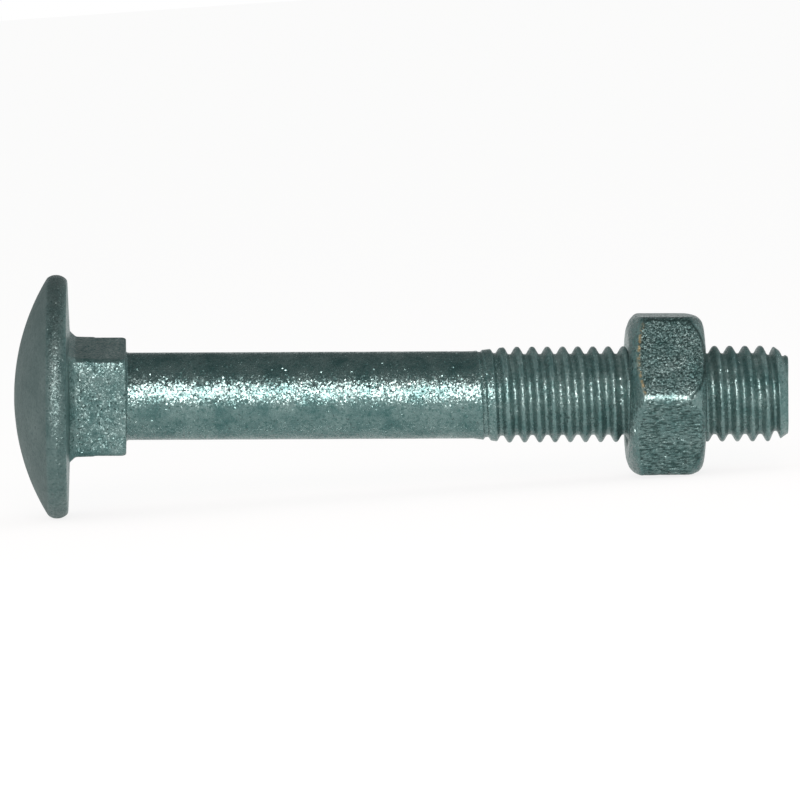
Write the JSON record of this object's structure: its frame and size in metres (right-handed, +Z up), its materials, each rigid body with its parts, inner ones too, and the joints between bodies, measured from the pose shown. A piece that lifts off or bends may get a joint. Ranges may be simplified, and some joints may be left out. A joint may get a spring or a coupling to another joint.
{
  "type": "carriage bolt with hex nut",
  "caption": "Galvanised carriage bolt with a domed head, square neck, plain shank and rolled right-hand thread, and a hex nut that travels along the thread.",
  "frame": {"origin": "centre of the head's flat underside, on the bolt's axis", "axes": "+Z up; the bolt lies in the XZ plane with its head towards -X and its threaded end towards +X, and leans 3.8 degrees down to the threaded end, because it rests on the head's rim and on the nut's lowest flat"},
  "size_m": [0.0637, 0.02, 0.0199],
  "materials": {
    "bolt_zinc": "hot-dip galvanised, dull grey with a fine sparkle",
    "nut_zinc": "hot-dip galvanised, dull grey with a rough skin"
  },
  "bodies": {
    "bolt": {"bolt": "bolt_zinc"},
    "nut": {"nut": "nut_zinc"}
  },
  "joints": [
    {"name": "nut_travel", "type": "slide", "parent": "bolt", "child": "nut", "axis": [0.9978, 0, -0.0662], "range_m": [-0.01, 0.0125]}
  ]
}
